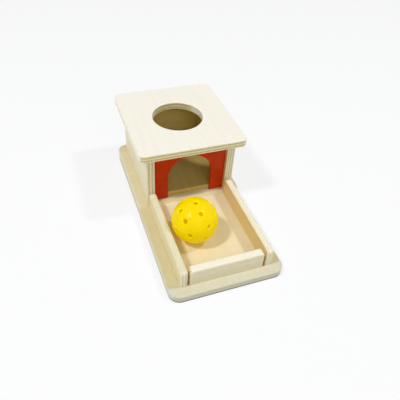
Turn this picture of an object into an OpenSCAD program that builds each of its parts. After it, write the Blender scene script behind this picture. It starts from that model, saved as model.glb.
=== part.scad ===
// Object permanence box: a ball dropped through the lid rolls down a hidden ramp,
// out of the arched doorway and into the tray.
// Millimetres, +Z up, +Y towards the box, origin at the middle of the base's underside.

/* [Base board] */
// Length of the base, front to back
base_l = 251.5; // [238:0.5:300]
// Width of the base
base_w = 125; // [118:1:160]
// Thickness of the base
base_t = 9; // [7:0.5:15]
// Radius of the base's corners, seen from above
base_corner_r = 12; // [5:0.5:18]
// Roundover of the base's upper edge
base_edge_r = 1.8; // [0.5:0.1:2.4]
// Easing of the lower edges of the base and the plate
low_edge_r = 0.5; // [0.2:0.1:1]
// Bare base in front of the tray
front_margin = 11; // [5:0.5:16]
// Bare base behind the box
back_margin = 11; // [5:0.5:16]

/* [Floor plate] */
// Thickness of the plate under the box
plate_t = 5; // [3:0.5:8]
// Roundover of the plate's upper edge
plate_edge_r = 1; // [0.3:0.1:1.4]

/* [Box] */
// Bare plate beside each side wall
side_margin = 10.25; // [5:0.25:14]
// Depth of the box, front of the walls to the back
box_l = 110; // [100:1:120]
// Height of the walls
wall_h = 68.5; // [64:0.5:90]
// Thickness of the side walls
wall_t = 9.5; // [7:0.5:12]
// Easing of a side wall's upright edges
wall_edge_r = 0.6; // [0.2:0.1:1.5]
// Thickness of the back wall
back_t = 9; // [6:0.5:12]

/* [Front panel] */
// Thickness of the painted panel
panel_t = 3; // [2.5:0.5:9]
// Distance of the panel behind the wall fronts
panel_setback = 4.2; // [2:0.1:8]
// Width of the panel on each side of the doorway
jamb_w = 16.75; // [12.75:0.05:17.35]
// Height of the panel above the doorway
head_h = 11.5; // [6.5:0.5:17]

/* [Lid] */
// Thickness of the lid
lid_t = 9; // [7:0.5:12]
// Overhang of the lid past each side wall
lid_side = 9.2; // [3:0.1:12]
// Overhang of the lid past the box's front and back
lid_end = 10.3; // [3:0.1:12]
// Radius of the lid's corners, seen from above
lid_corner_r = 7; // [4:0.5:16]
// Roundover of the lid's edges
lid_edge_r = 1; // [0.3:0.1:2]
// Diameter of the hole that the ball drops through
hole_d = 58.5; // [52:0.5:66]
// Roundover of the hole's rims
hole_edge_r = 0.8; // [0.3:0.1:2]

/* [Ramp] */
// Thickness of the ramp board
ramp_t = 6; // [4:0.5:8]
// Slope of the ramp, in degrees
ramp_angle = 11; // [7:0.5:13]
// Play around the ramp
ramp_play = 0.3; // [0.1:0.1:0.8]
// Depth of the block that carries the ramp's high end
support_t = 12; // [6:0.5:20]

/* [Tray] */
// Bare base beside each rail
rail_margin = 12; // [8:0.5:15]
// Thickness of the rails
rail_t = 8; // [6:0.5:12]
// Height of the rails
rail_h = 22; // [16:0.5:30]
// Radius of a rail's upper corners, seen from the side
rail_corner_r = 4; // [4:0.1:7]
// Roundover of a rail's edges
rail_edge_r = 2; // [0.3:0.1:2]
// Gap between the rails and the box
rail_gap = 0.5; // [0.1:0.1:0.9]
// Thickness of the front bar
bar_t = 9; // [7:0.5:12]
// Height of the front bar
bar_h = 21; // [14:0.5:26]
// Radius of the bar's upper corners, seen from the front
bar_corner_r = 4; // [4:0.1:7]
// Roundover of the bar's edges
bar_edge_r = 2; // [0.5:0.1:2]
// Gap between the front bar and each rail
bar_gap = 2.2; // [1:0.1:4]

/* [Ball] */
// Diameter of the ball
ball_d = 50; // [46:0.1:50.2]
// Wall of the hollow ball
ball_wall = 1.8; // [1.2:0.1:3]
// Diameter of the holes in the ball
ball_hole_d = 5.6; // [3:0.1:8]
// Gap between the resting ball and the left rail
ball_side_gap = 2.5; // [0.5:0.1:10]
// Place of the resting ball behind the middle of the tray
ball_offset = -2.75; // [-20:0.25:20]
// Clearance under the resting ball
ball_lift = 0.3; // [0.1:0.1:0.6]
// Turn of the resting ball about X, Y and Z, in degrees
ball_turn = [55, -64, -143];

/* [Dowels] */
// Diameter of the dowels in the walls
wall_dowel_d = 5; // [3:0.5:6]
// Diameter of the dowels in the tray
tray_dowel_d = 4; // [3:0.5:5]
// Glue film around a dowel
glue = 0.1; // [0.05:0.05:0.2]
// Wood left beyond the end of a dowel in the lid and the base
dowel_skin = 3; // [2:0.5:4]
// Length of a dowel inside a wall
wall_dowel_depth = 14; // [8:0.5:24]
// Length of a dowel inside a rail or the front bar
tray_dowel_depth = 9; // [5:0.5:10]
// Free space past the end of a dowel
dowel_end = 0.5; // [0.2:0.1:1]
// Distance of the dowels from the ends of a wall or rail
dowel_inset = 20; // [10:0.5:30]

/* [Hidden] */
$fn = 96;
// Extra reach of a cut past the face that it opens
past = 1;

// Heights of the stacked boards and of the doorway
floor_z = base_t + plate_t;
lid_z = floor_z + wall_h;
arch_h = wall_h - head_h;

// Widths
box_w = base_w - 2 * side_margin;
tray_w = base_w - 2 * (rail_margin + rail_t);

// Places along the object's length
base_front = -base_l / 2;
box_back = base_l / 2 - back_margin;
box_front = box_back - box_l;
box_mid = (box_front + box_back) / 2;
panel_front = box_front + panel_setback;
ramp_front = panel_front + panel_t + ramp_play;
back_inside = box_back - back_t;
ramp_back = back_inside - ramp_play;
rail_back = box_front - rail_gap;
rail_front = base_front + front_margin;
rail_l = rail_back - rail_front;
rail_mid_y = (rail_front + rail_back) / 2;
bar_mid = rail_front + bar_t / 2;
tray_mid = (rail_front + bar_t + box_front) / 2;

// Places across the object's width
wall_mid = (box_w - wall_t) / 2;
inside_w = box_w - 2 * wall_t;
arch_w = inside_w - 2 * jamb_w;
ramp_w = inside_w - 2 * ramp_play;
rail_mid = (tray_w + rail_t) / 2;
bar_l = tray_w - 2 * bar_gap;

// Ball at rest in the tray, as photographed
ball_r = ball_d / 2;
ball_at = [-tray_w / 2 + ball_side_gap + ball_r, tray_mid + ball_offset, base_t + ball_lift + ball_r];
// Rows of holes on each half of the ball: latitude, count and turn of the row
ball_rows = [[90, 1, 0], [50.5, 4, 0], [16.5, 8, 22.5]];
// Turn of the lower half's rows against the upper half's
half_turn = 45;

// Places of the dowels along a wall, a rail and the front bar
wall_dowel_y = [box_front + dowel_inset, box_back - dowel_inset];
rail_dowel_y = [rail_front + dowel_inset, rail_back - dowel_inset];
bar_dowel_x = bar_l / 2 - dowel_inset;

birch = [0.93, 0.87, 0.74];
birch_dark = [0.87, 0.77, 0.58];
red_paint = [0.66, 0.13, 0.06];
yellow = [0.96, 0.84, 0.02];
beech = [0.82, 0.66, 0.46];

// Section of a board's edge: reach from the corner's axis, thickness, lower and upper roundover
module edge_section(reach, t, lower, upper) {
    translate([0, lower]) square([reach, t - lower - upper]);
    translate([reach - upper, t - upper]) circle(upper);
    translate([reach - lower, lower]) circle(lower);
    square([reach - lower, t / 2]);
    translate([0, t / 2]) square([reach - upper, t / 2]);
}

// Board lying on z = 0, with round corners and its edge section swept all around it.
// A corner's radius is at least twice the larger roundover.
module eased_board(w, l, t, corner, lower, upper) {
    flat_w = w - 2 * corner;
    flat_l = l - 2 * corner;
    translate([-flat_w / 2, -flat_l / 2, 0]) cube([flat_w, flat_l, t]);
    for (side = [0, 1]) rotate([0, 0, 180 * side]) {
        translate([flat_w / 2, flat_l / 2, 0]) rotate([90, 0, 0]) linear_extrude(flat_l)
            edge_section(corner, t, lower, upper);
        translate([-flat_w / 2, flat_l / 2, 0]) rotate([90, 0, 90]) linear_extrude(flat_w)
            edge_section(corner, t, lower, upper);
        translate([flat_w / 2, flat_l / 2, 0]) rotate_extrude(angle = 90)
            edge_section(corner, t, lower, upper);
        translate([-flat_w / 2, flat_l / 2, 0]) rotate([0, 0, 90]) rotate_extrude(angle = 90)
            edge_section(corner, t, lower, upper);
    }
}

// Round hole through a board of thickness t, with eased rims
module eased_hole(d, t, ease) {
    translate([0, 0, -past]) cylinder(d = d, h = t + 2 * past);
    rotate_extrude() difference() {
        union() {
            translate([d / 2 - past, -past]) square([past + ease, past + ease]);
            translate([d / 2 - past, t - ease]) square([past + ease, past + ease]);
        }
        for (rim = [ease, t - ease]) translate([d / 2 + ease, rim]) circle(ease);
    }
}

// Dowel or dowel hole between two heights
module dowel(d, low, high) {
    translate([0, 0, low]) cylinder(d = d, h = high - low);
}

// Dowel holes of one side wall: lid end and base end
module wall_dowel_holes(low, high) {
    for (y = wall_dowel_y) translate([0, y, 0]) dowel(wall_dowel_d + 2 * glue, low, high);
}

// Holes of all dowels that reach down into the base
module base_dowel_holes(low, high) {
    for (side = [-1, 1]) translate([side * wall_mid, 0, 0]) wall_dowel_holes(low, high);
}

module base_board() {
    color(birch_dark) difference() {
        eased_board(base_w, base_l, base_t, base_corner_r, low_edge_r, base_edge_r);
        base_dowel_holes(dowel_skin, base_t + past);
        for (side = [-1, 1], y = rail_dowel_y) translate([side * rail_mid, y, 0])
            dowel(tray_dowel_d + 2 * glue, dowel_skin, base_t + past);
        for (side = [-1, 1]) translate([side * bar_dowel_x, bar_mid, 0])
            dowel(tray_dowel_d + 2 * glue, dowel_skin, base_t + past);
    }
}

// The plate has the base's outline, cut straight at the box's front
module floor_plate() {
    color(birch_dark) difference() {
        translate([0, 0, base_t])
            eased_board(base_w, base_l, plate_t, base_corner_r, low_edge_r, plate_edge_r);
        translate([-base_w, base_front - past, base_t - past])
            cube([2 * base_w, box_front - base_front + past, plate_t + 2 * past]);
        base_dowel_holes(base_t - past, floor_z + past);
    }
}

// Outline of an upright board, seen from above, with eased corners
module eased_outline(w, l, r) {
    square([w, l - 2 * r], center = true);
    square([w - 2 * r, l], center = true);
    for (x = [-1, 1], y = [-1, 1]) translate([x * (w / 2 - r), y * (l / 2 - r)]) circle(r);
}

// One side wall standing on the plate, in the middle plane
module side_wall() {
    difference() {
        translate([0, box_mid, floor_z]) linear_extrude(wall_h) eased_outline(wall_t, box_l, wall_edge_r);
        wall_dowel_holes(floor_z - past, floor_z + wall_dowel_depth + dowel_end);
        wall_dowel_holes(lid_z - wall_dowel_depth - dowel_end, lid_z + past);
    }
}

module left_wall() {
    color(birch) translate([-wall_mid, 0, 0]) side_wall();
}

module right_wall() {
    color(birch) translate([wall_mid, 0, 0]) side_wall();
}

module back_wall() {
    color(birch) translate([-inside_w / 2, back_inside, floor_z]) cube([inside_w, back_t, wall_h]);
}

// Outline of the doorway: straight jambs under a half circle
module arch_outline() {
    spring = arch_h - arch_w / 2;
    translate([-arch_w / 2, -past]) square([arch_w, spring + past]);
    translate([0, spring]) circle(d = arch_w);
}

module front_panel() {
    color(red_paint) translate([0, panel_front + panel_t, floor_z]) rotate([90, 0, 0])
        linear_extrude(panel_t) difference() {
            translate([-inside_w / 2, 0]) square([inside_w, wall_h]);
            arch_outline();
        }
}

module lid() {
    lid_w = box_w + 2 * lid_side;
    lid_l = box_l + 2 * lid_end;
    color(birch) difference() {
        translate([0, box_mid, lid_z])
            eased_board(lid_w, lid_l, lid_t, lid_corner_r, lid_edge_r, lid_edge_r);
        translate([0, box_mid, lid_z]) eased_hole(hole_d, lid_t, hole_edge_r);
        for (side = [-1, 1]) translate([side * wall_mid, 0, 0])
            wall_dowel_holes(lid_z - past, lid_z + lid_t - dowel_skin);
    }
}

// Height of the ramp's underside at a place along the length
function under_ramp(y) = floor_z + (y - ramp_front) * tan(ramp_angle);

// A section in the YZ plane, stretched across the inside of the box
module across_box(w) {
    translate([-w / 2, 0, 0]) rotate([90, 0, 90]) linear_extrude(w) children();
}

module ramp() {
    upright_t = ramp_t / cos(ramp_angle);
    color(birch) across_box(ramp_w) polygon([
        [ramp_front, floor_z],
        [ramp_back, under_ramp(ramp_back)],
        [ramp_back, under_ramp(ramp_back) + upright_t],
        [ramp_front, floor_z + upright_t]]);
}

// Block against the back wall, its top sloped to the ramp's underside
module ramp_support() {
    color(beech) across_box(ramp_w) polygon([
        [back_inside - support_t, floor_z],
        [back_inside, floor_z],
        [back_inside, under_ramp(back_inside)],
        [back_inside - support_t, under_ramp(back_inside - support_t)]]);
}

// Board standing on edge along Y, on the base: eased above, square where it meets the base
module edge_board(l, h, t, corner, ease) {
    sunk = 2 * corner;
    difference() {
        translate([t / 2, 0, base_t + (h - sunk) / 2]) rotate([0, -90, 0])
            eased_board(h + sunk, l, t, corner, ease, ease);
        translate([-t, -l, base_t - sunk - past]) cube([2 * t, 2 * l, sunk + past]);
    }
}

// One rail in the middle plane
module side_rail() {
    difference() {
        translate([0, rail_mid_y, 0]) edge_board(rail_l, rail_h, rail_t, rail_corner_r, rail_edge_r);
        for (y = rail_dowel_y) translate([0, y, 0])
            dowel(tray_dowel_d + 2 * glue, base_t - past, base_t + tray_dowel_depth + dowel_end);
    }
}

module left_rail() {
    color(birch) translate([-rail_mid, 0, 0]) side_rail();
}

module right_rail() {
    color(birch) translate([rail_mid, 0, 0]) side_rail();
}

module front_bar() {
    color(birch) difference() {
        translate([0, bar_mid, 0]) rotate([0, 0, 90])
            edge_board(bar_l, bar_h, bar_t, bar_corner_r, bar_edge_r);
        for (side = [-1, 1]) translate([side * bar_dowel_x, bar_mid, 0])
            dowel(tray_dowel_d + 2 * glue, base_t - past, base_t + tray_dowel_depth + dowel_end);
    }
}

// Holes of one half of the ball, from its pole to its seam: they start clear of each other inside it
module half_ball_holes() {
    for (row = ball_rows, i = [0 : row[1] - 1]) rotate([0, 90 - row[0], row[2] + 360 * i / row[1]])
        translate([0, 0, ball_r / 2]) cylinder(d = ball_hole_d, h = ball_r);
}

module ball() {
    color(yellow) translate(ball_at) rotate(ball_turn) difference() {
        sphere(ball_r);
        sphere(ball_r - ball_wall);
        half_ball_holes();
        rotate([0, 0, half_turn]) mirror([0, 0, 1]) half_ball_holes();
    }
}

module lid_dowels() {
    color(beech) for (side = [-1, 1], y = wall_dowel_y) translate([side * wall_mid, y, 0])
        dowel(wall_dowel_d, lid_z - wall_dowel_depth, lid_z + lid_t - dowel_skin);
}

module wall_dowels() {
    color(beech) for (side = [-1, 1], y = wall_dowel_y) translate([side * wall_mid, y, 0])
        dowel(wall_dowel_d, dowel_skin, floor_z + wall_dowel_depth);
}

module rail_dowels() {
    color(beech) for (side = [-1, 1], y = rail_dowel_y) translate([side * rail_mid, y, 0])
        dowel(tray_dowel_d, dowel_skin, base_t + tray_dowel_depth);
}

module bar_dowels() {
    color(beech) for (side = [-1, 1]) translate([side * bar_dowel_x, bar_mid, 0])
        dowel(tray_dowel_d, dowel_skin, base_t + tray_dowel_depth);
}

base_board();
floor_plate();
left_wall();
right_wall();
back_wall();
front_panel();
lid();
ramp();
ramp_support();
left_rail();
right_rail();
front_bar();
ball();
lid_dowels();
wall_dowels();
rail_dowels();
bar_dowels();
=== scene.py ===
"""Looks of an object permanence box: plywood boards, a red arched front and a perforated ball.

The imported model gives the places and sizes. This script dresses its boards, remakes the arched
front and the ball in finer detail, and sets the studio and the camera.
"""

import logging
import math
from dataclasses import dataclass, field, replace
from enum import Enum

import bmesh
import bpy
from mathutils import Euler, Matrix, Vector


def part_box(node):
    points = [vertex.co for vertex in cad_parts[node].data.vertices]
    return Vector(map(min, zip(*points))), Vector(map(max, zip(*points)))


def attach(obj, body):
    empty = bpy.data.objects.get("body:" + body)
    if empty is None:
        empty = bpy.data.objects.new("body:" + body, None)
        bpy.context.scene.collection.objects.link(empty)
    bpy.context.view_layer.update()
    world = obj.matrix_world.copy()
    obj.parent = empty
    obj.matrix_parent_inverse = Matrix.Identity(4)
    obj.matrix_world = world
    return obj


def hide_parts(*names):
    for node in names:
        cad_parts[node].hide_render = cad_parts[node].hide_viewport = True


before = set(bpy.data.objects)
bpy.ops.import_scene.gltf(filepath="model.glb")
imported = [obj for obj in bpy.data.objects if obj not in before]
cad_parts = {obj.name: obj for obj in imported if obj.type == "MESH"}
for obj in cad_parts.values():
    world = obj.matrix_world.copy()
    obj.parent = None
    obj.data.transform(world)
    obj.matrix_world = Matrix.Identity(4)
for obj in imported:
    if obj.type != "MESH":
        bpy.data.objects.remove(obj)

log = logging.getLogger("permanence_box")

Band = tuple[float, float]
Colour = tuple[float, float, float]
Triple = tuple[float, float, float]
Socket = bpy.types.NodeSocket

MM_PER_M = 1000.0

# Steps around an edge that is rounded off
EASE_SEGMENTS = 3

# How far one unit of seed moves a noise along each axis
SEED_STEP = (1.0, 1.7, 0.6)


class Axis(Enum):
    """An axis of the shared frame: X to the right, Y towards the box, Z up."""

    X = 0
    Y = 1
    Z = 2

    def unit(self) -> Vector:
        """The axis as a vector of length 1."""
        return Vector([float(other is self) for other in Axis])


class Side(Enum):
    """A side of a board, along the axis that it is thick."""

    LOW = -1
    NONE = 0
    HIGH = 1


@dataclass(frozen=True)
class Pattern:
    """A noise that is stretched along the axes of a place.

    Attributes:
        stretch: Waves per millimetre along each axis.
        detail: Octaves of finer noise.
        shift: Fixed offset, so that two patterns on one piece don't look alike.
    """

    stretch: Triple
    detail: float
    shift: float = 0.0


# Grain of a face: it sways sideways, and figure, fibres and pores make up its colour
SWAY = Pattern((0.011, 0.02, 0.02), 1.0)
SWAY_MM = 16.0
FIGURE = Pattern((0.008, 0.19, 0.19), 3.0, 3.1)
FIGURE_SHARE = 0.65
FIBRE = Pattern((0.05, 2.1, 2.1), 2.0, 7.3)
FIBRE_SHARE = 0.35
FIBRE_RELIEF = 0.5
LATE_BAND = (0.36, 0.66)
PORE = Pattern((0.3, 4.6, 4.6), 1.0, 11.9)
PORE_BAND = (0.66, 0.78)
PORE_SHARE = 0.55

# Stripes of a plywood edge, measured in veneers, and its sanded long sides
WOBBLE = Pattern((0.07, 0.07, 0.02), 2.0, 5.7)
WOBBLE_PLIES = 0.3
HALF_PLY = 0.5
CROSSED_BAND = (0.12, -0.12)
GLUE_BAND = (0.2, 0.0)
GLUE_SHARE = 0.5
CUT_PORE = Pattern((2.6, 2.6, 1.1), 2.0, 2.2)
CUT_PORE_BAND = (0.35, 0.7)
CUT_PORE_DEPTH = 0.8
STREAK = Pattern((0.16, 0.16, 1.9), 2.0, 9.4)
STREAK_SHARE = 0.4
END_BAND = (0.4, 0.8)

# Where a board's face passes into its edges, and how its lacquer varies
FACE_BAND = (0.5, 0.8)
SHEEN = Pattern((0.09, 0.3, 0.3), 3.0, 17.0)
SHEEN_WIDTH = 0.2

# Paint: its frayed border at the back, its mottled colour and its stippled surface
FRAY = Pattern((0.6, 0.6, 0.6), 3.0, 4.4)
FRAY_WIDTH = 0.5
COVER_BAND = (0.6, 0.45)
MOTTLE = Pattern((0.05, 0.12, 0.12), 3.0, 8.8)
MOTTLE_BAND = (0.3, 0.75)
MOTTLE_WIDTH = 0.14
STIPPLE = Pattern((1.3, 1.6, 1.6), 2.0, 1.9)
GRAIN_THROUGH = 0.4

# Plastic: its cloudy colour, its seam in millimetres, its scuffs and its slightly uneven skin
CLOUD = Pattern((0.06, 0.06, 0.06), 3.0, 2.0)
CLOUD_BAND = (0.3, 0.7)
SEAM_BAND = (0.28, 0.1)
SCUFF = Pattern((0.25, 1.4, 0.9), 4.0, 6.0)
SCUFF_BAND = (0.6, 0.75)
SCUFF_ROUGHNESS = 0.14
PEEL = Pattern((0.7, 0.7, 0.7), 2.0, 9.0)
PEEL_RELIEF = 0.4


def linear(colour: Colour) -> tuple[float, float, float, float]:
    """Turn a colour as a screen shows it into linear values, by the sRGB curve.

    Args:
        colour: Red, green and blue from 0 to 1, as a screen shows them.

    Returns:
        Linear red, green and blue, with full opacity.
    """
    red, green, blue = (
        c / 12.92 if c <= 0.04045 else ((c + 0.055) / 1.055) ** 2.4 for c in colour
    )
    return red, green, blue, 1.0


class Bench:
    """Short calls that add nodes to one node tree and wire them together."""

    def __init__(self, tree: bpy.types.NodeTree) -> None:
        """Take the node tree to work on."""
        self.tree = tree

    def node(self, kind: str, *values: object, **settings: object) -> bpy.types.Node:
        """Add one node.

        Args:
            kind: The node's type name.
            values: What its first inputs take, in their order.
            settings: Properties to set on the node.

        Returns:
            The new node.
        """
        made = self.tree.nodes.new(kind)
        for name, value in settings.items():
            setattr(made, name, value)
        for target, value in zip(made.inputs, values):
            self.feed(target, value)
        return made

    def feed(self, target: Socket, value: object) -> None:
        """Link a socket to another one, or set a plain value on it.

        Args:
            target: The input socket.
            value: An output socket, a number, a vector or a colour.
        """
        if isinstance(value, Socket):
            self.tree.links.new(value, target)
        else:
            target.default_value = value

    def math(self, operation: str, *values: object) -> Socket:
        """Work out a number from sockets or plain numbers."""
        return self.node("ShaderNodeMath", *values, operation=operation).outputs[0]

    def vector(self, operation: str, *values: object) -> Socket:
        """Work out a vector from sockets or plain vectors."""
        return self.node("ShaderNodeVectorMath", *values, operation=operation).outputs["Vector"]

    def split(self, vector: Socket) -> list[Socket]:
        """Take a vector apart into X, Y and Z."""
        return list(self.node("ShaderNodeSeparateXYZ", vector).outputs)

    def spot(self) -> Socket:
        """The place on a piece, in metres."""
        return self.node("ShaderNodeTexCoord").outputs["Object"]

    def millimetres(self, middle: Vector, turn: Matrix) -> Socket:
        """Measure the place on a piece in its own millimetres.

        Args:
            middle: Where they start, in metres.
            turn: Turn from the shared frame to the piece's own axes.

        Returns:
            The place's vector socket.
        """
        shift = self.node("ShaderNodeMapping", self.spot())
        shift.inputs["Location"].default_value = -(turn @ middle) * MM_PER_M
        shift.inputs["Rotation"].default_value = turn.to_euler()
        shift.inputs["Scale"].default_value = (MM_PER_M,) * 3
        return shift.outputs["Vector"]

    def facing(self, way: Vector) -> Socket:
        """Judge how squarely a surface faces a way: 1 towards it, and -1 off it."""
        normal = self.node("ShaderNodeTexCoord").outputs["Normal"]
        return self.node("ShaderNodeVectorMath", normal, way, operation="DOT_PRODUCT").outputs["Value"]

    def step(self, value: Socket, band: Band) -> Socket:
        """Add a smooth step.

        Args:
            value: The number to judge.
            band: Where the step is still 0, and where it has reached 1.

        Returns:
            The step's socket, from 0 to 1.
        """
        made = self.node("ShaderNodeMapRange", value, interpolation_type="SMOOTHSTEP")
        made.inputs["From Min"].default_value, made.inputs["From Max"].default_value = band
        return made.outputs["Result"]

    def noise(self, place: Socket, pattern: Pattern, seed: float = 0.0) -> Socket:
        """Add a noise.

        Args:
            place: Place in millimetres.
            pattern: How the noise looks.
            seed: Fixed offset, so that two boards don't look alike.

        Returns:
            The noise's socket, from 0 to 1 around 0.5.
        """
        offset = pattern.shift + seed
        shift = self.node("ShaderNodeMapping", place)
        shift.inputs["Location"].default_value = [step * offset for step in SEED_STEP]
        shift.inputs["Scale"].default_value = pattern.stretch
        made = self.node("ShaderNodeTexNoise", shift.outputs["Vector"])
        made.inputs["Scale"].default_value = 1.0
        made.inputs["Detail"].default_value = pattern.detail
        return made.outputs["Fac"]

    def swayed(self, middle: object, noise: Socket, width: float) -> Socket:
        """Let a number sway about its middle with a noise of that width."""
        return self.math("MULTIPLY_ADD", noise, width, self.math("SUBTRACT", middle, width / 2))

    def fade(self, share: Socket, first: Socket, second: Socket) -> Socket:
        """Pass from a first number to a second one, by the second one's share."""
        return self.math("MULTIPLY_ADD", self.math("SUBTRACT", second, first), share, first)

    def blend(self, share: Socket, first: Colour | Socket, second: Colour | Socket) -> Socket:
        """Add a colour mix.

        Args:
            share: Share of the second colour.
            first: Colour at 0, a socket or as a screen shows it.
            second: Colour at 1, a socket or as a screen shows it.

        Returns:
            The mixed colour's socket.
        """
        made = self.node("ShaderNodeMix", data_type="RGBA")
        self.feed(made.inputs["Factor"], share)
        for name, colour in (("A", first), ("B", second)):
            self.feed(made.inputs[name], linear(colour) if isinstance(colour, tuple) else colour)
        return made.outputs["Result"]

    def toned(self, colour: Socket, tone: Colour) -> Socket:
        """Multiply a colour by a tone."""
        return self.vector("MULTIPLY", colour, linear(tone)[:3])

    def seen(self) -> Socket:
        """Tell what is looked at, also in a mirror or through glass, from what only lights others.

        Returns:
            The number's socket, 1 where it is looked at.
        """
        path = self.node("ShaderNodeLightPath").outputs
        direct = self.math("MAXIMUM", path["Is Camera Ray"], path["Is Glossy Ray"])
        return self.math("MAXIMUM", direct, path["Is Transmission Ray"])

    def layer(self, share: object, first: Socket, second: Socket) -> Socket:
        """Mix two shaders, by the second one's share."""
        return self.node("ShaderNodeMixShader", share, first, second).outputs["Shader"]

    def show(self, shader: Socket, kind: str = "ShaderNodeOutputMaterial") -> None:
        """Send a shader to the tree's output."""
        self.feed(self.node(kind).inputs["Surface"], shader)

    def shape(
        self, kind: str, geometry: Socket, values: dict[str, object], **settings: object
    ) -> Socket:
        """Add a node that works on a geometry and hands it on.

        Args:
            kind: The node's type name, without what all such names begin with.
            geometry: The geometry that goes in.
            values: What its other inputs take, by their names.
            settings: Properties to set on the node.

        Returns:
            The worked geometry's socket.
        """
        made = self.node("GeometryNode" + kind, **settings)
        self.feed(made.inputs["Geometry"], geometry)
        for name, value in values.items():
            self.feed(made.inputs[name], value)
        return made.outputs["Geometry"]


@dataclass(frozen=True)
class Cut:
    """How one board is cut from its sheet.

    Attributes:
        through: Axis along which the board is thick.
        grain: Axis along which its face grain runs.
        plies: Number of veneers, 1 for solid wood.
        tilt: Slope about X, in degrees.
        inner_shade: Side that faces into the box or the tray, which takes painted shade.
        seed: Fixed offset of its grain.
        long_stripes: Strength of the stripes on the edges along the grain, 1 being that of its ends.
    """

    through: Axis
    grain: Axis
    plies: int = 1
    tilt: float = 0.0
    inner_shade: Side = Side.NONE
    seed: float = 0.0
    long_stripes: float = 0.25

    def across(self) -> Axis:
        """The axis that is left, across the grain and along the face."""
        return next(a for a in Axis if a not in (self.through, self.grain))

    def slope(self) -> Matrix:
        """The turn that lays the level board on its slope."""
        return Matrix.Rotation(math.radians(self.tilt), 3, "X")

    def up(self) -> Vector:
        """The way that the board's high face looks."""
        return self.slope() @ self.through.unit()


@dataclass
class Board:
    """A board on the bench, ready for its finish.

    Attributes:
        bench: Node tree of its material.
        cut: How it is cut.
        low: Lowest corner of the box that it fills, in metres.
        high: Highest corner of that box, in metres.
        place: Its own millimetres from its middle, along the grain, across it and through it.
    """

    bench: Bench
    cut: Cut
    low: Vector
    high: Vector
    place: Socket = field(init=False)

    def __post_init__(self) -> None:
        """Lay out the board's own millimetres."""
        bench, cut = self.bench, self.cut
        middle = (self.low + self.high) / 2
        parts = bench.split(bench.millimetres(middle, cut.slope().transposed()))
        own = [parts[axis.value] for axis in (cut.grain, cut.across(), cut.through)]
        self.place = bench.node("ShaderNodeCombineXYZ", *own).outputs[0]

    def box_mm(self) -> float:
        """How far the box reaches along the board's thickness, in millimetres."""
        return (self.high - self.low)[self.cut.through.value] * MM_PER_M

    def noise(self, pattern: Pattern) -> Socket:
        """Add a noise with the board's own seed."""
        return self.bench.noise(self.place, pattern, self.cut.seed)


@dataclass(frozen=True)
class Surface:
    """Sockets that describe a surface before it goes to a shader.

    Attributes:
        colour: Its colour.
        roughness: Its roughness.
        height: Its relief, in shares of the finish's own.
    """

    colour: Socket
    roughness: Socket
    height: Socket


@dataclass(frozen=True, kw_only=True)
class Finish:
    """A covering that shines.

    Attributes:
        roughness: Its roughness, where nothing changes it.
        gloss: Strength of its reflection.
        relief: Height of its relief, in metres.
    """

    roughness: float = 0.42
    gloss: float = 0.3
    relief: float = 0.00003

    def coat(self, bench: Bench, surface: Surface) -> tuple[Socket, Socket]:
        """Send a surface to a glossy shader.

        Args:
            bench: The node tree.
            surface: The surface.

        Returns:
            The sockets of the shader and of the uneven surface's normal.
        """
        rough = bench.node("ShaderNodeBump")
        rough.inputs["Strength"].default_value = 1.0
        rough.inputs["Distance"].default_value = self.relief
        bench.feed(rough.inputs["Height"], surface.height)
        shader = bench.node("ShaderNodeBsdfPrincipled")
        shader.inputs["Specular IOR Level"].default_value = self.gloss
        bench.feed(shader.inputs["Base Color"], surface.colour)
        bench.feed(shader.inputs["Roughness"], surface.roughness)
        bench.feed(shader.inputs["Normal"], rough.outputs["Normal"])
        return shader.outputs["BSDF"], rough.outputs["Normal"]


@dataclass(frozen=True, kw_only=True)
class WoodFinish(Finish):
    """Lacquered solid wood with grain, fibres and pores.

    Attributes:
        pale: Early wood.
        deep: Late wood.
        fleck: Pores.
        inner_shade: Tone that the inner side is multiplied by, painted shade for faces inside the box
            and the tray.
    """

    pale: Colour
    deep: Colour
    fleck: Colour
    inner_shade: Colour = (1.0, 1.0, 1.0)

    def face(self, board: Board) -> tuple[Socket, Socket]:
        """Colour and relief of a face.

        Args:
            board: The board.

        Returns:
            The colour's and the relief's sockets.
        """
        bench, seed = board.bench, board.cut.seed
        aside = bench.swayed(0.0, board.noise(SWAY), SWAY_MM)
        sway = bench.node("ShaderNodeCombineXYZ", 0.0, aside)
        place = bench.vector("ADD", board.place, sway.outputs[0])
        figure = bench.math("MULTIPLY", bench.noise(place, FIGURE, seed), FIGURE_SHARE)
        fibre = bench.noise(place, FIBRE, seed)
        late = bench.step(bench.math("MULTIPLY_ADD", fibre, FIBRE_SHARE, figure), LATE_BAND)
        colour = bench.blend(late, self.pale, self.deep)
        flecks = bench.step(bench.noise(place, PORE, seed), PORE_BAND)
        colour = bench.blend(bench.math("MULTIPLY", flecks, PORE_SHARE), colour, self.fleck)
        relief = bench.math("SUBTRACT", bench.math("MULTIPLY", fibre, FIBRE_RELIEF), flecks)
        return colour, relief

    def skin(self, board: Board) -> tuple[Socket, Socket]:
        """Colour and relief all over a board, those of its face where the wood is solid."""
        return self.face(board)

    def surface(self, board: Board) -> Surface:
        """Describe a board all over, with painted shade on its inner side.

        Args:
            board: The board.

        Returns:
            The board's surface.
        """
        bench, cut = board.bench, board.cut
        colour, relief = self.skin(board)
        # Painted shade: the inner side is darkened and yellowed by the finish's inner tone.
        if cut.inner_shade is not Side.NONE:
            inner_facing = bench.step(bench.facing(cut.up() * cut.inner_shade.value), FACE_BAND)
            colour = bench.blend(inner_facing, colour, bench.toned(colour, self.inner_shade))
        roughness = bench.swayed(self.roughness, board.noise(SHEEN), SHEEN_WIDTH)
        return Surface(colour, roughness, relief)


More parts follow.
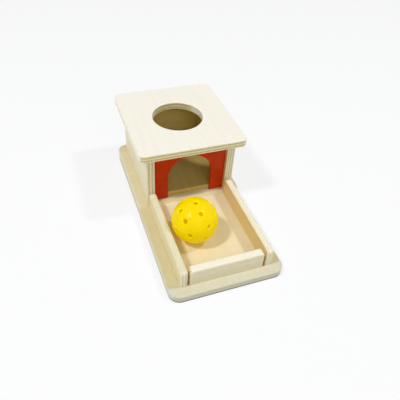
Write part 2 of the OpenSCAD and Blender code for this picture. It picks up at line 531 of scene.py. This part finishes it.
@dataclass(frozen=True, kw_only=True)
class PlyFinish(WoodFinish):
    """Lacquered plywood, with striped edges around its faces.

    Attributes:
        edge_pale: Veneers cut along their grain, seen on an edge.
        edge_deep: Veneers cut across their grain, seen on an edge.
        glue: Glue line between two veneers.
        rim: Sanded edges along the grain, where the stripes hardly show.
    """

    edge_pale: Colour
    edge_deep: Colour
    glue: Colour
    rim: Colour

    def edge(self, board: Board) -> tuple[Socket, Socket]:
        """Colour and relief of the striped edges.

        Args:
            board: The board.

        Returns:
            The colour's and the relief's sockets.
        """
        bench, cut = board.bench, board.cut
        through = bench.split(board.place)[2]
        level = bench.math("MULTIPLY_ADD", through, cut.plies / board.box_mm(), cut.plies / 2)
        level = bench.swayed(level, board.noise(WOBBLE), WOBBLE_PLIES)
        inner = bench.math("MINIMUM", bench.math("MAXIMUM", level, HALF_PLY), cut.plies - HALF_PLY)
        wave = bench.math("SINE", bench.math("MULTIPLY", inner, math.pi))
        crossed = bench.step(wave, CROSSED_BAND)
        glued = bench.step(bench.math("ABSOLUTE", wave), GLUE_BAND)
        pores = board.noise(CUT_PORE)
        streak = board.noise(STREAK)
        pale = bench.blend(streak, self.edge_pale, self.pale)
        deep = bench.blend(bench.step(pores, CUT_PORE_BAND), self.edge_deep, self.edge_pale)
        colour = bench.blend(crossed, pale, deep)
        colour = bench.blend(bench.math("MULTIPLY", glued, GLUE_SHARE), colour, self.glue)
        worn = bench.math("MULTIPLY", streak, STREAK_SHARE)
        sanded = bench.blend(worn, self.rim, self.edge_pale)
        end = bench.step(bench.math("ABSOLUTE", bench.facing(cut.grain.unit())), END_BAND)
        strength = bench.math("MULTIPLY_ADD", end, 1.0 - cut.long_stripes, cut.long_stripes)
        relief = bench.math("MULTIPLY", crossed, bench.math("SUBTRACT", pores, CUT_PORE_DEPTH))
        return bench.blend(strength, sanded, colour), relief

    def skin(self, board: Board) -> tuple[Socket, Socket]:
        """Colour and relief all over a board, with striped edges around its faces.

        Args:
            board: The board.

        Returns:
            The colour's and the relief's sockets.
        """
        bench = board.bench
        colour, relief = self.face(board)
        striped, ridge = self.edge(board)
        flat = bench.step(bench.math("ABSOLUTE", bench.facing(board.cut.up())), FACE_BAND)
        return bench.blend(flat, striped, colour), bench.fade(flat, ridge, relief)


@dataclass(frozen=True, kw_only=True)
class PaintedShadeFinish(PlyFinish):
    """Plywood with painted shade on its margins and a painted contact shadow along its lowest edge.

    Attributes:
        margin_shade: Tone that the margins are multiplied by, as painted shade.
        front: Tone that the strip in front of the bar is multiplied by, as painted shade.
        unshaded_low: Lowest X and Y of the middle without painted shade, in metres.
        unshaded_high: Highest X and Y of that middle, in metres.
        blur: Half the width over which the tone changes, in metres.
        contact_shadow: Tone that the lowest edge is multiplied by, as a painted contact shadow.
        contact_shadow_band: Heights at which the painted contact shadow begins and where it is full, in
            metres.
    """

    margin_shade: Colour
    front: Colour
    unshaded_low: tuple[float, float]
    unshaded_high: tuple[float, float]
    blur: float = 0.002
    contact_shadow: Colour = (0.48, 0.49, 0.46)
    contact_shadow_band: Band = (0.00234, 0.00126)

    def surface(self, board: Board) -> Surface:
        """Paint shade on the margins, on the strip in front of the bar and along the lowest edge of a
        board.

        Args:
            board: The board.

        Returns:
            The board's surface.
        """
        bench, unshaded_surface = board.bench, super().surface(board)
        x, y, z = bench.split(bench.spot())
        (left, near), (right, far) = self.unshaded_low, self.unshaded_high
        half = (right - left) / 2
        aside = bench.math("ABSOLUTE", bench.math("SUBTRACT", x, (left + right) / 2))
        aside = bench.step(aside, (half - self.blur, half + self.blur))
        behind = bench.step(y, (far - self.blur, far + self.blur))
        around = bench.math("MAXIMUM", aside, behind)
        ahead = bench.step(y, (near + self.blur, near - self.blur))
        # Painted shade: the margins and the strip in front of the bar are darkened and greyed.
        colour = bench.blend(around, unshaded_surface.colour, bench.toned(unshaded_surface.colour, self.margin_shade))
        colour = bench.blend(ahead, colour, bench.toned(unshaded_surface.colour, self.front))
        # Painted contact shadow: a dark band along the lowest edge.
        below = bench.step(z, self.contact_shadow_band)
        return replace(unshaded_surface, colour=bench.blend(below, colour, bench.toned(colour, self.contact_shadow)))


@dataclass(frozen=True, kw_only=True)
class PaintFinish(Finish):
    """Satin paint on the front and the edges of a board whose back is left unpainted.

    Attributes:
        wood: The board under the paint.
        colour: The paint where it lies thick.
        thin: The paint where it lies thin.
    """

    wood: WoodFinish
    colour: Colour
    thin: Colour
    gloss: float = 0.12

    def surface(self, board: Board) -> Surface:
        """Describe a painted board all over.

        Args:
            board: The board.

        Returns:
            The board's surface.
        """
        bench, under = board.bench, self.wood.surface(board)
        fray = bench.noise(board.place, FRAY)
        cover = bench.step(bench.swayed(bench.facing(Axis.Y.unit()), fray, FRAY_WIDTH), COVER_BAND)
        mottle = bench.noise(board.place, MOTTLE)
        paint = bench.blend(bench.step(mottle, MOTTLE_BAND), self.colour, self.thin)
        satin = bench.swayed(self.roughness, mottle, MOTTLE_WIDTH)
        stipple = bench.noise(board.place, STIPPLE)
        coat = bench.math("MULTIPLY_ADD", under.height, GRAIN_THROUGH, stipple)
        return Surface(
            bench.blend(cover, under.colour, paint),
            bench.fade(cover, under.roughness, satin),
            bench.fade(cover, under.height, coat),
        )


@dataclass(frozen=True, kw_only=True)
class PlasticFinish(Finish):
    """Glossy thin plastic that light soaks through, with a faint seam, scuffs and cloudy colour.

    Attributes:
        colour: The plastic in full light.
        cloudy: The plastic where it is a little deeper.
        soaked: Light that has soaked through the thin wall.
        light_through: Share of the light that soaks through.
    """

    colour: Colour
    cloudy: Colour
    soaked: Colour
    light_through: float = 0.7
    roughness: float = 0.22
    relief: float = 0.00004

    def material(self, name: str, middle: Vector, turn: Euler) -> bpy.types.Material:
        """Make the material of a moulded ball.

        Args:
            name: The material's name.
            middle: The ball's middle, in metres.
            turn: How the ball lies.

        Returns:
            The ball's material.
        """
        made = blank_material(name)
        bench = Bench(made.node_tree)
        place = bench.millimetres(middle, turn.to_matrix().inverted())
        cloud = bench.step(bench.noise(place, CLOUD), CLOUD_BAND)
        scuff = bench.step(bench.noise(place, SCUFF), SCUFF_BAND)
        seam = bench.step(bench.math("ABSOLUTE", bench.split(place)[2]), SEAM_BAND)
        moulded = Surface(
            bench.blend(cloud, self.colour, self.cloudy),
            bench.math("MULTIPLY_ADD", scuff, SCUFF_ROUGHNESS, self.roughness),
            bench.math("MULTIPLY_ADD", bench.noise(place, PEEL), PEEL_RELIEF, seam),
        )
        shader, normal = self.coat(bench, moulded)
        through = bench.node("ShaderNodeBsdfTranslucent")
        through.inputs["Color"].default_value = linear(self.soaked)
        bench.feed(through.inputs["Normal"], normal)
        bench.show(bench.layer(self.light_through, shader, through.outputs["BSDF"]))
        return made


def blank_material(name: str) -> bpy.types.Material:
    """Make a material with an empty node tree.

    Args:
        name: The material's name.

    Returns:
        The material.
    """
    made = bpy.data.materials.new(name)
    made.use_nodes = True
    made.node_tree.nodes.clear()
    return made


def board_material(
    name: str, finish: WoodFinish | PaintFinish, cut: Cut, low: Vector, high: Vector
) -> bpy.types.Material:
    """Make the material of one board.

    Args:
        name: The material's name.
        finish: The board's finish.
        cut: How it is cut.
        low: Its lowest corner, in metres.
        high: Its highest corner, in metres.

    Returns:
        The board's own material.
    """
    made = blank_material(name)
    bench = Bench(made.node_tree)
    shader, _ = finish.coat(bench, finish.surface(Board(bench, cut, low, high)))
    bench.show(shader)
    return made


Boards = tuple[tuple[str, WoodFinish, Cut], ...]

# Each finish's inner tone is painted shade for faces inside the box and the tray.
BIRCH = PlyFinish(
    pale=(0.955, 0.916, 0.795),
    deep=(0.935, 0.887, 0.747),
    fleck=(0.84, 0.76, 0.58),
    edge_pale=(0.96, 0.935, 0.85),
    edge_deep=(0.77, 0.70, 0.50),
    glue=(0.55, 0.47, 0.28),
    rim=(0.97, 0.95, 0.89),
    inner_shade=(0.905, 0.875, 0.685),
)
LID_BIRCH = replace(
    BIRCH,
    pale=(0.965, 0.95, 0.915),
    deep=(0.953, 0.935, 0.892),
    fleck=(0.90, 0.86, 0.765),
    edge_pale=(0.905, 0.858, 0.655),
    edge_deep=(0.727, 0.66, 0.39),
    rim=(1.0, 0.985, 0.94),
    inner_shade=(0.74, 0.67, 0.50),
)
BAR_BIRCH = replace(BIRCH, pale=(0.93, 0.898, 0.788), deep=(0.91, 0.869, 0.74))
TRAY_BIRCH = replace(
    BIRCH,
    pale=(0.948, 0.891, 0.722),
    deep=(0.928, 0.86, 0.672),
    edge_pale=(1.0, 0.985, 0.92),
    edge_deep=(0.80, 0.747, 0.557),
    glue=(0.52, 0.46, 0.29),
    rim=(0.945, 0.92, 0.835),
    inner_shade=(0.962, 0.92, 0.835),
)
# The left rail's sanded top is painted darker than the right rail's, as painted shade.
LEFT_RAIL_SHADED_BIRCH = replace(TRAY_BIRCH, rim=(0.86, 0.838, 0.70))
# The base's margins and front strip carry painted shade, and its lowest edge a painted contact shadow.
BASE_BIRCH = PaintedShadeFinish(
    pale=(0.925, 0.876, 0.745),
    deep=(0.915, 0.857, 0.712),
    fleck=(0.855, 0.77, 0.595),
    edge_pale=(0.85, 0.828, 0.695),
    edge_deep=(0.818, 0.79, 0.64),
    glue=(0.76, 0.712, 0.555),
    rim=(0.955, 0.935, 0.85),
    margin_shade=(0.955, 0.957, 0.91),
    front=(0.917, 0.945, 1.0),
    unshaded_low=(-0.0465, -0.1105),
    unshaded_high=(0.0465, 0.115),
)
# Pale edges with faint stripes: partly the pale wood, partly painted light on the front edge.
PLATE_BIRCH_LIT_EDGES = replace(
    BIRCH,
    pale=(0.91, 0.864, 0.735),
    deep=(0.896, 0.839, 0.692),
    edge_pale=(0.98, 0.955, 0.87),
    edge_deep=(0.92, 0.88, 0.76),
    glue=(0.75, 0.69, 0.55),
    rim=(1.0, 0.985, 0.92),
)
RAMP_BIRCH = PlyFinish(
    pale=(0.835, 0.755, 0.52),
    deep=(0.795, 0.705, 0.46),
    fleck=(0.66, 0.54, 0.32),
    edge_pale=(0.97, 0.90, 0.61),
    edge_deep=(0.68, 0.58, 0.31),
    glue=(0.42, 0.33, 0.15),
    rim=(0.84, 0.76, 0.54),
    inner_shade=(0.92, 0.89, 0.78),
)
BEECH = WoodFinish(
    pale=(0.85, 0.70, 0.50),
    deep=(0.78, 0.62, 0.42),
    fleck=(0.60, 0.42, 0.26),
    roughness=0.6,
    gloss=0.2,
)
RED_PAINT = PaintFinish(wood=BIRCH, colour=(0.765, 0.207, 0.025), thin=(0.80, 0.235, 0.035))
YELLOW_PLASTIC = PlasticFinish(
    colour=(0.998, 0.955, 0.0), cloudy=(0.996, 0.935, 0.0), soaked=(0.998, 0.965, 0.0)
)


def add_object(name: str, data: bpy.types.ID) -> bpy.types.Object:
    """Add an object to the scene.

    Args:
        name: The object's name.
        data: Its mesh, lamp or lens.

    Returns:
        The object.
    """
    made = bpy.data.objects.new(name, data)
    bpy.context.scene.collection.objects.link(made)
    return made


def add_shape(name: str, shape: bmesh.types.BMesh) -> bpy.types.Object:
    """Turn a worked shape into an object of the scene.

    Args:
        name: The object's name.
        shape: The shape, which is freed.

    Returns:
        The object.
    """
    mesh = bpy.data.meshes.new(name)
    shape.to_mesh(mesh)
    shape.free()
    return add_object(name, mesh)


def ease_edges(piece: bpy.types.Object, width: float, angle: float) -> None:
    """Round off a piece's sharp edges.

    Args:
        piece: The piece.
        width: Width of the rounding, in metres.
        angle: Least angle of an edge that counts as sharp, in degrees.
    """
    eased = piece.modifiers.new("ease", "BEVEL")
    eased.width = width
    eased.segments = EASE_SEGMENTS
    eased.limit_method = "ANGLE"
    eased.angle_limit = math.radians(angle)


@dataclass
class Woodwork:
    """Boards that are dressed together.

    Attributes:
        boards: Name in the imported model, finish and cut of each board.
    """

    boards: Boards

    def dress(self) -> None:
        """Give each board its own material."""
        for node, finish, cut in self.boards:
            low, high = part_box(node)
            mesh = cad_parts[node].data
            mesh.materials.clear()
            mesh.materials.append(board_material(node + "_wood", finish, cut, low, high))
            log.info("%s: dressed, %d veneers", node, cut.plies)


@dataclass
class Base(Woodwork):
    """The long base board and the plate that lies on it under the box."""

    boards: Boards = (
        ("base_board", BASE_BIRCH, Cut(Axis.Z, Axis.Y, 5, seed=1.0)),
        ("floor_plate", PLATE_BIRCH_LIT_EDGES, Cut(Axis.Z, Axis.X, 3, seed=14.0, long_stripes=0.1)),
    )


@dataclass
class Box(Woodwork):
    """The hiding box: walls, arched front, lid, ramp and the block under it.

    Attributes:
        arch_w: Width of the doorway, in metres.
        arch_h: Height of the doorway at its crown, in metres.
        arch_steps: Steps of the doorway's half circle.
        ease: Easing of the front's edges, in metres.
        sharp: Least angle of an edge that is eased, in degrees.
        front: How the front is cut.
    """

    # Inner sides, inside the box, take painted shade; so does the front's back.
    boards: Boards = (
        ("left_wall", BIRCH, Cut(Axis.X, Axis.Y, 5, inner_shade=Side.HIGH, seed=23.0)),
        ("right_wall", BIRCH, Cut(Axis.X, Axis.Y, 7, inner_shade=Side.LOW, seed=31.0)),
        ("back_wall", BIRCH, Cut(Axis.Y, Axis.X, 7, inner_shade=Side.LOW, seed=42.0)),
        ("lid", LID_BIRCH, Cut(Axis.Z, Axis.Y, 5, inner_shade=Side.LOW, seed=66.0, long_stripes=0.05)),
        ("ramp", RAMP_BIRCH, Cut(Axis.Z, Axis.Y, 3, tilt=11.0, inner_shade=Side.HIGH, seed=71.0)),
        ("ramp_support", BEECH, Cut(Axis.Z, Axis.X, seed=80.0)),
    )
    arch_w: float = 0.052
    arch_h: float = 0.057
    arch_steps: int = 64
    ease: float = 0.0004
    sharp: float = 40.0
    front: Cut = Cut(Axis.Y, Axis.X, 3, inner_shade=Side.HIGH, seed=57.0)

    def outline(self, low: Vector, high: Vector) -> list[tuple[float, float]]:
        """Trace the front's outline in X and Z, around the doorway.

        Args:
            low: The front's lowest corner.
            high: The front's highest corner.

        Returns:
            The outline's points, in order.
        """
        half = self.arch_w / 2
        spring = low.z + self.arch_h - half
        turns = [math.pi * i / self.arch_steps for i in range(self.arch_steps + 1)]
        arch = [(half * math.cos(turn), spring + half * math.sin(turn)) for turn in turns]
        corners = [(low.x, low.z), (low.x, high.z), (high.x, high.z), (high.x, low.z)]
        return corners + [(half, low.z)] + arch + [(-half, low.z)]

    def build_front(self) -> bpy.types.Object:
        """Make the arched front with eased edges, in place of its plain board.

        Returns:
            The arched front.
        """
        low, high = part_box("front_panel")
        shape = bmesh.new()
        loop = [shape.verts.new((x, low.y, z)) for x, z in self.outline(low, high)]
        face = shape.faces.new(loop)
        pushed = bmesh.ops.extrude_face_region(shape, geom=[face])
        moved = [v for v in pushed["geom"] if isinstance(v, bmesh.types.BMVert)]
        bmesh.ops.translate(shape, verts=moved, vec=(0.0, high.y - low.y, 0.0))
        bmesh.ops.recalc_face_normals(shape, faces=shape.faces)
        front = add_shape("arched_front", shape)
        ease_edges(front, self.ease, self.sharp)
        front.data.materials.append(board_material("red_front", RED_PAINT, self.front, low, high))
        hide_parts("front_panel")
        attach(front, "box")
        return front


@dataclass
class Tray(Woodwork):
    """The two rails and the front bar that keep the ball in front of the box."""

    # Each rail's inner side, facing the tray, takes painted shade.
    boards: Boards = (
        ("left_rail", LEFT_RAIL_SHADED_BIRCH, Cut(Axis.X, Axis.Y, 5, inner_shade=Side.HIGH, seed=91.0)),
        ("right_rail", TRAY_BIRCH, Cut(Axis.X, Axis.Y, 5, inner_shade=Side.LOW, seed=103.0, long_stripes=0.4)),
        ("front_bar", BAR_BIRCH, Cut(Axis.Y, Axis.X, 5, seed=117.0, long_stripes=0.08)),
    )


@dataclass
class Joinery(Woodwork):
    """The hidden dowels, in groups of equal ones."""

    boards: Boards = tuple(
        (group, BEECH, Cut(Axis.X, Axis.Z, seed=131.0))
        for group in ("lid_dowels", "wall_dowels", "rail_dowels", "bar_dowels")
    )


@dataclass
class PerforatedBall:
    """The hollow ball, whose holes lie in rows around an axis and repeat on its other half.

    Attributes:
        wall: Thickness of the shell, in metres.
        hole: Diameter of a hole, in metres.
        rim: Rounding of a hole's rims, in metres.
        sharp: Least angle of a rim that is rounded, in degrees.
        cells: Grid cells along each edge of the cube that is blown up into the sphere.
        cleared: Share of a hole within which the grid's points are taken out.
        rows: Latitude in degrees, number of holes and turn in degrees of each row of one half.
        half_turn: Turn of the lower half against the upper one, in degrees.
        turn: How the ball lies, about X, Y and Z in degrees.
        middle: The ball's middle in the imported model, in metres.
        radius: The ball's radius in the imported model, in metres.
    """

    wall: float = 0.0018
    hole: float = 0.0056
    rim: float = 0.0003
    sharp: float = 50.0
    cells: int = 68
    cleared: float = 0.93
    rows: tuple[tuple[float, int, float], ...] = ((90.0, 1, 0.0), (50.5, 4, 0.0), (16.5, 8, 22.5))
    half_turn: float = 45.0
    turn: Triple = (55.0, -64.0, -143.0)
    middle: Vector = field(init=False)
    radius: float = field(init=False)

    def __post_init__(self) -> None:
        """Take the ball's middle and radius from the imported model."""
        low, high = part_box("ball")
        self.middle = (low + high) / 2
        self.radius = (high.z - low.z) / 2

    def lie(self) -> Euler:
        """How the ball lies, as angles for Blender."""
        return Euler([math.radians(a) for a in self.turn], "XYZ")

    def hole_points(self, bench: Bench) -> Socket:
        """Place a point on the unit sphere at the middle of each hole.

        A ring has at least three points, and at a pole they all lie in the one hole's middle.

        Args:
            bench: The node tree.

        Returns:
            The points' geometry socket.
        """
        upper = bench.node("GeometryNodeJoinGeometry")
        for latitude, count, turn in self.rows:
            ring = bench.node("GeometryNodeMeshCircle")
            ring.inputs["Vertices"].default_value = max(count, 3)
            ring.inputs["Radius"].default_value = math.cos(math.radians(latitude))
            lift = {
                "Translation": (0.0, 0.0, math.sin(math.radians(latitude))),
                "Rotation": (0.0, 0.0, math.radians(turn)),
            }
            lifted = bench.shape("Transform", ring.outputs["Mesh"], lift)
            bench.feed(upper.inputs[0], lifted)
        mirror = {
            "Scale": (1.0, 1.0, -1.0),
            "Rotation": (0.0, 0.0, math.radians(self.half_turn)),
        }
        both = bench.node("GeometryNodeJoinGeometry")
        bench.feed(both.inputs[0], upper.outputs[0])
        bench.feed(both.inputs[0], bench.shape("Transform", upper.outputs[0], mirror))
        return both.outputs[0]

    def sphere(self, bench: Bench, cells: Socket) -> Socket:
        """Blow up a cube's grid into a unit sphere with even cells.

        Args:
            bench: The node tree.
            cells: Grid cells along each of the cube's edges.

        Returns:
            The sphere's geometry socket.
        """
        cube = bench.node("GeometryNodeMeshCube")
        cube.inputs["Size"].default_value = (2.0, 2.0, 2.0)
        for name in ("Vertices X", "Vertices Y", "Vertices Z"):
            bench.feed(cube.inputs[name], bench.math("ADD", cells, 1.0))
        corner = bench.node("GeometryNodeInputPosition").outputs[0]
        even = bench.vector("TANGENT", bench.vector("MULTIPLY", corner, (math.pi / 4,) * 3))
        blow = {"Position": bench.vector("NORMALIZE", even)}
        return bench.shape("SetPosition", cube.outputs["Mesh"], blow)

    def open_holes(self, bench: Bench, sphere: Socket, angle: Socket) -> Socket:
        """Take out the grid's points in each hole, and draw the rims to true circles.

        A rim's points lie on edges with a single face.

        Args:
            bench: The node tree.
            sphere: The closed sphere.
            angle: Half the angle that a hole takes up, seen from the ball's middle.

        Returns:
            The open sphere's geometry socket.
        """
        near = bench.node("GeometryNodeProximity", self.hole_points(bench), target_element="POINTS")
        half_chord = bench.math("SINE", bench.math("MULTIPLY", angle, 0.5))
        reach = bench.math("MULTIPLY", bench.math("MULTIPLY", half_chord, 2.0), self.cleared)
        inside = {"Selection": bench.math("LESS_THAN", near.outputs["Distance"], reach)}
        opened = bench.shape("DeleteGeometry", sphere, inside, domain="POINT")
        faces = bench.node("GeometryNodeInputMeshEdgeNeighbors")
        single = bench.node("FunctionNodeCompare", data_type="INT", operation="EQUAL")
        bench.feed(single.inputs[2], faces.outputs[0])
        single.inputs[3].default_value = 1
        rim = single.outputs[0]
        on_rim = bench.node("GeometryNodeFieldOnDomain", rim, data_type="BOOLEAN", domain="EDGE")
        axis = near.outputs["Position"]
        point = bench.node("GeometryNodeInputPosition").outputs[0]
        off_axis = bench.vector("SUBTRACT", point, bench.vector("PROJECT", point, axis))
        raised = bench.vector("MULTIPLY", axis, bench.math("COSINE", angle))
        outward = bench.vector("NORMALIZE", off_axis)
        spread = bench.vector("MULTIPLY", outward, bench.math("SINE", angle))
        circle = {"Selection": on_rim.outputs[0], "Position": bench.vector("ADD", raised, spread)}
        return bench.shape("SetPosition", opened, circle)

    def inputs(self) -> dict[str, tuple[str, object]]:
        """Name the inputs of the ball's node tree.

        Returns:
            The socket's type and the value of each input, by its name.
        """
        plastic = YELLOW_PLASTIC.material("yellow_plastic", self.middle, self.lie())
        return {
            "Radius": ("NodeSocketFloat", self.radius),
            "Hole angle": ("NodeSocketFloat", math.asin(self.hole / 2 / self.radius)),
            "Cells": ("NodeSocketInt", self.cells),
            "Middle": ("NodeSocketVector", self.middle),
            "Turn": ("NodeSocketRotation", self.lie()),
            "Plastic": ("NodeSocketMaterial", plastic),
        }

    def tree(self, inputs: dict[str, tuple[str, object]]) -> bpy.types.NodeTree:
        """Build the node tree that blows up a cube, opens its holes and lays the ball in place.

        Args:
            inputs: The tree's inputs.

        Returns:
            The tree.
        """
        tree = bpy.data.node_groups.new("perforated_ball", "GeometryNodeTree")
        for name, (kind, _) in inputs.items():
            tree.interface.new_socket(name=name, in_out="INPUT", socket_type=kind)
        tree.interface.new_socket(name="Geometry", in_out="OUTPUT", socket_type="NodeSocketGeometry")
        bench = Bench(tree)
        given = bench.node("NodeGroupInput").outputs
        ball = self.open_holes(bench, self.sphere(bench, given["Cells"]), given["Hole angle"])
        lay = {
            "Translation": given["Middle"],
            "Rotation": given["Turn"],
            "Scale": given["Radius"],
        }
        ball = bench.shape("Transform", ball, lay)
        ball = bench.shape("SetShadeSmooth", ball, {})
        ball = bench.shape("RealizeInstances", ball, {})
        ball = bench.shape("SetMaterial", ball, {"Material": given["Plastic"]})
        bench.feed(bench.node("NodeGroupOutput").inputs["Geometry"], ball)
        return tree

    def build(self) -> bpy.types.Object:
        """Make the ball in place of its plain shell.

        Returns:
            The ball.
        """
        inputs = self.inputs()
        tree = self.tree(inputs)
        ball = add_object("perforated_ball", bpy.data.meshes.new("perforated_ball"))
        grown = ball.modifiers.new("grow", "NODES")
        grown.node_group = tree
        for socket in tree.interface.items_tree:
            if socket.in_out == "INPUT":
                grown[socket.identifier] = inputs[socket.name][1]
        settled = ball.evaluated_get(bpy.context.evaluated_depsgraph_get())
        ball.data = bpy.data.meshes.new_from_object(settled)
        ball.modifiers.remove(grown)
        shell = ball.modifiers.new("shell", "SOLIDIFY")
        shell.thickness = self.wall
        shell.offset = -1.0
        ease_edges(ball, self.rim, self.sharp)
        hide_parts("ball")
        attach(ball, "ball")
        return ball


@dataclass(frozen=True)
class Lamp:
    """A round lamp that looks at the object.

    Attributes:
        name: The lamp's name.
        bearing: Plan direction from the object to the lamp.
        height: Elevation in degrees.
        share: Light on a facing surface, 1 showing a colour as it is written.
        size: Diameter in metres.
    """

    name: str
    bearing: tuple[float, float]
    height: float
    share: float
    size: float

    def hang(self, reach: float, colour: Colour) -> None:
        """Hang the lamp.

        Args:
            reach: Its distance, in metres.
            colour: Its tint, in linear values.
        """
        lamp = bpy.data.lights.new(self.name, "AREA")
        lamp.shape = "DISK"
        lamp.size = self.size
        lamp.energy = self.share * (math.pi * reach) ** 2
        lamp.color = colour
        plan = Vector(self.bearing).normalized() * math.cos(math.radians(self.height))
        way = Vector((plan.x, plan.y, math.sin(math.radians(self.height))))
        hung = add_object(self.name, lamp)
        hung.location = way * reach
        hung.rotation_euler = way.to_track_quat("Z", "Y").to_euler()


@dataclass
class Studio:
    """White floor, soft sky, a lamp on each side, a softbox in front, and the camera.

    Attributes:
        eye: The camera's place, in metres.
        right: The picture's right, in the shared frame.
        up: The picture's up, in the shared frame.
        focal: Focal length, in pixels.
        picture_w: Width of the picture, in the same pixels.
        film_w: Width of the film, in millimetres.
        sight: Nearest and farthest distance that the camera sees, in metres.
        sky: Strength of the light from all around.
        sky_colour: Tint of that light.
        lamps: The lamps and the softbox.
        lamp_reach: Distance of the lamps, in metres.
        lamp_colour: Tint of the lamps, in linear values.
        floor_r: Radius of the floor, in metres.
        floor_sides: Sides of the floor's outline.
        floor_drop: How far the floor lies below the object, in metres.
        floor_colour: The floor where shadows fall on it.
        floor_glow: The floor's white that no shadow reaches.
        glow_share: Share of that white.
    """

    eye: Triple = (-0.1356, -0.35028, 0.36611)
    right: Triple = (0.9401902, -0.3356939, 0.0578966)
    up: Triple = (0.1913239, 0.6609902, 0.7255943)
    focal: float = 432.07
    picture_w: float = 400.0
    film_w: float = 36.0
    sight: Band = (0.01, 50.0)
    sky: float = 0.32
    sky_colour: Colour = (1.0, 0.99, 0.90)
    lamps: tuple[Lamp, ...] = (
        Lamp("lamp_right", (1.0, -0.26), 57.5, 0.30, 0.3),
        Lamp("lamp_left", (-1.0, -0.22), 58.0, 0.43, 0.3),
        Lamp("lamp_front", (0.0, -1.0), 42.0, 0.13, 1.6),
    )
    lamp_reach: float = 2.5
    lamp_colour: Colour = (0.96, 0.97, 1.0)
    floor_r: float = 4.0
    floor_sides: int = 64
    floor_drop: float = 0.0002
    floor_colour: Colour = (0.96, 0.965, 0.99)
    floor_glow: Colour = (0.997, 0.998, 1.0)
    glow_share: float = 0.72

    def build_floor(self) -> None:
        """Lay a white floor that keeps a faint shadow."""
        shape = bmesh.new()
        bmesh.ops.create_circle(shape, cap_ends=True, segments=self.floor_sides, radius=self.floor_r)
        bmesh.ops.translate(shape, verts=shape.verts, vec=(0.0, 0.0, -self.floor_drop))
        floor = add_shape("floor", shape)
        made = blank_material("floor_white")
        bench = Bench(made.node_tree)
        matt = bench.node("ShaderNodeBsdfDiffuse")
        matt.inputs["Color"].default_value = linear(self.floor_colour)
        glow = bench.node("ShaderNodeEmission")
        glow.inputs["Color"].default_value = linear(self.floor_glow)
        share = bench.math("MULTIPLY", bench.seen(), self.glow_share)
        bench.show(bench.layer(share, matt.outputs[0], glow.outputs[0]))
        floor.data.materials.append(made)

    def build_sky(self) -> None:
        """Light the scene softly from all around, and show white behind it."""
        world = bpy.data.worlds.new("soft_sky")
        world.use_nodes = True
        world.node_tree.nodes.clear()
        bench = Bench(world.node_tree)
        soft = bench.node("ShaderNodeBackground")
        soft.inputs["Color"].default_value = linear(self.sky_colour)
        soft.inputs["Strength"].default_value = self.sky
        white = bench.node("ShaderNodeBackground")
        white.inputs["Color"].default_value = (1.0, 1.0, 1.0, 1.0)
        sky = bench.layer(bench.seen(), soft.outputs[0], white.outputs[0])
        bench.show(sky, "ShaderNodeOutputWorld")
        bpy.context.scene.world = world

    def build_camera(self) -> None:
        """Set the camera where the photograph was taken."""
        right, up = Vector(self.right), Vector(self.up)
        pose = Matrix((right, up, right.cross(up))).transposed().to_4x4()
        pose.translation = Vector(self.eye)
        lens = bpy.data.cameras.new("camera")
        lens.sensor_fit = "HORIZONTAL"
        lens.sensor_width = self.film_w
        lens.lens = self.film_w * self.focal / self.picture_w
        lens.clip_start, lens.clip_end = self.sight
        camera = add_object("camera", lens)
        camera.matrix_world = pose
        bpy.context.scene.camera = camera

    def build(self) -> None:
        """Set up floor, light and camera."""
        bpy.context.scene.view_settings.view_transform = "Standard"
        self.build_floor()
        self.build_sky()
        for lamp in self.lamps:
            lamp.hang(self.lamp_reach, self.lamp_colour)
        self.build_camera()


def main() -> None:
    """Build and dress the toy piece by piece, then set the studio."""
    logging.basicConfig(level=logging.INFO, format="%(message)s")
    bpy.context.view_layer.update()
    Base().dress()
    box = Box()
    box.dress()
    log.info("%s: arched, painted red", box.build_front().name)
    Tray().dress()
    Joinery().dress()
    ball = PerforatedBall().build()
    log.info("%s: %d faces before its wall", ball.name, len(ball.data.polygons))
    Studio().build()


if __name__ == "__main__":
    main()
